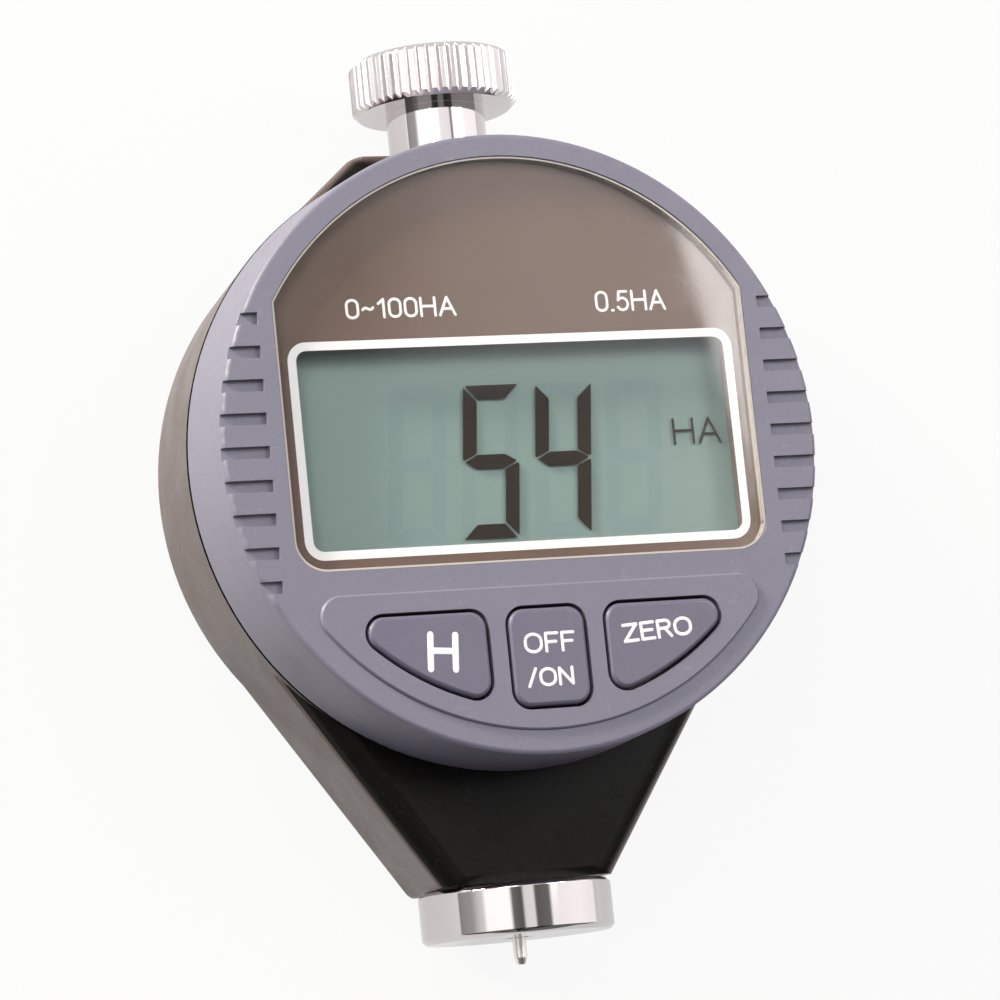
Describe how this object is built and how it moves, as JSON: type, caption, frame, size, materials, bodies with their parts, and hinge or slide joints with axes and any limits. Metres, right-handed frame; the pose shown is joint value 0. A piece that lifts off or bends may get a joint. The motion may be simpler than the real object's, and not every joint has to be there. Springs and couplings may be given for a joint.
{
  "type": "digital durometer",
  "caption": "Hand-held digital hardness gauge with a round display head, push keys, a knurled top knob, a tapered cast body, a round presser foot and a spring-loaded indenter pin.",
  "frame": {"origin": "under the middle of the instrument's box, on the back face of the casting, which lies on the table", "axes": "+X to the right of the display, +Y along the spindle towards the hand knob, +Z out of the display"},
  "size_m": [0.0584, 0.0864, 0.0269],
  "materials": {
    "casting_paint": "satin black paint on a die casting",
    "bezel_plastic": "fine satin blue-grey moulding",
    "key_plastic": "satin blue-grey keys with white legends",
    "lens_clear": "clear polished window",
    "mask_print": "dark print behind the window",
    "display_glass": "display glass with polariser",
    "reflector_film": "grey-green reflector",
    "holder_plastic": "pale moulding",
    "zebra_rubber": "silicone rubber",
    "board_laminate": "green solder mask",
    "chip_epoxy": "black potting",
    "nickel": "nickel plate",
    "switch_plastic": "black moulding",
    "plunger_plastic": "ivory moulding",
    "cap_plastic": "black moulding",
    "seal_rubber": "black rubber",
    "contact_brass": "spring brass",
    "chrome": "polished chrome plate",
    "hard_steel": "hardened ground steel",
    "spindle_steel": "ground steel",
    "bush_brass": "turned brass",
    "spring_steel": "spring wire",
    "carrier_aluminium": "milled aluminium",
    "screw_steel": "zinc-plated steel",
    "scale_laminate": "copper pattern on laminate"
  },
  "bodies": {
    "case": {"main_casting": "casting_paint", "front_bezel": "bezel_plastic", "window_lens": "lens_clear", "window_mask": "mask_print", "lcd_glass": "display_glass", "lcd_reflector": "reflector_film", "lcd_holder": "holder_plastic", "zebra_strips": "zebra_rubber", "circuit_board": "board_laminate", "processor_chip": "chip_epoxy", "quartz_can": "nickel", "switch_bodies": "switch_plastic", "battery_cell": "nickel", "cell_contact_negative": "contact_brass", "cell_contact_positive": "contact_brass", "hand_knob": "chrome", "presser_foot": "chrome", "lower_bush": "bush_brass", "upper_bush": "bush_brass", "load_spring": "spring_steel", "spring_adjuster": "bush_brass", "guide_pin": "spindle_steel", "case_screws": "screw_steel", "board_screws": "screw_steel"},
    "indenter_rod": {"spindle": "spindle_steel", "indenter": "hard_steel", "spring_seat": "spindle_steel", "scale_carrier": "carrier_aluminium", "carrier_screw": "screw_steel", "scale_strip": "scale_laminate"},
    "hold_button": {"hold_key": "key_plastic", "hold_plunger": "plunger_plastic"},
    "power_button": {"power_key": "key_plastic", "power_plunger": "plunger_plastic"},
    "zero_button": {"zero_key": "key_plastic", "zero_plunger": "plunger_plastic"},
    "battery_door": {"battery_cap": "cap_plastic", "cap_seal": "seal_rubber"}
  },
  "joints": [
    {"name": "indenter_slide", "type": "slide", "parent": "case", "child": "indenter_rod", "axis": [0, 1, 0], "range_m": [0, 0.0025], "stiffness_N_per_m": 3000, "springref_m": -0.00018, "deforming": ["load_spring"]},
    {"name": "hold_press", "type": "slide", "parent": "case", "child": "hold_button", "axis": [0, 0, -1], "range_m": [0, 0.0005], "stiffness_N_per_m": 2500, "springref_m": -0.0002},
    {"name": "power_press", "type": "slide", "parent": "case", "child": "power_button", "axis": [0, 0, -1], "range_m": [0, 0.0005], "stiffness_N_per_m": 2500, "springref_m": -0.0002},
    {"name": "zero_press", "type": "slide", "parent": "case", "child": "zero_button", "axis": [0, 0, -1], "range_m": [0, 0.0005], "stiffness_N_per_m": 2500, "springref_m": -0.0002},
    {"name": "cap_turn", "type": "hinge", "parent": "case", "child": "battery_door", "pos_m": [0.0136, 0.00244, 0.001], "axis": [0, 0, -1], "range_deg": [0, 90]}
  ]
}
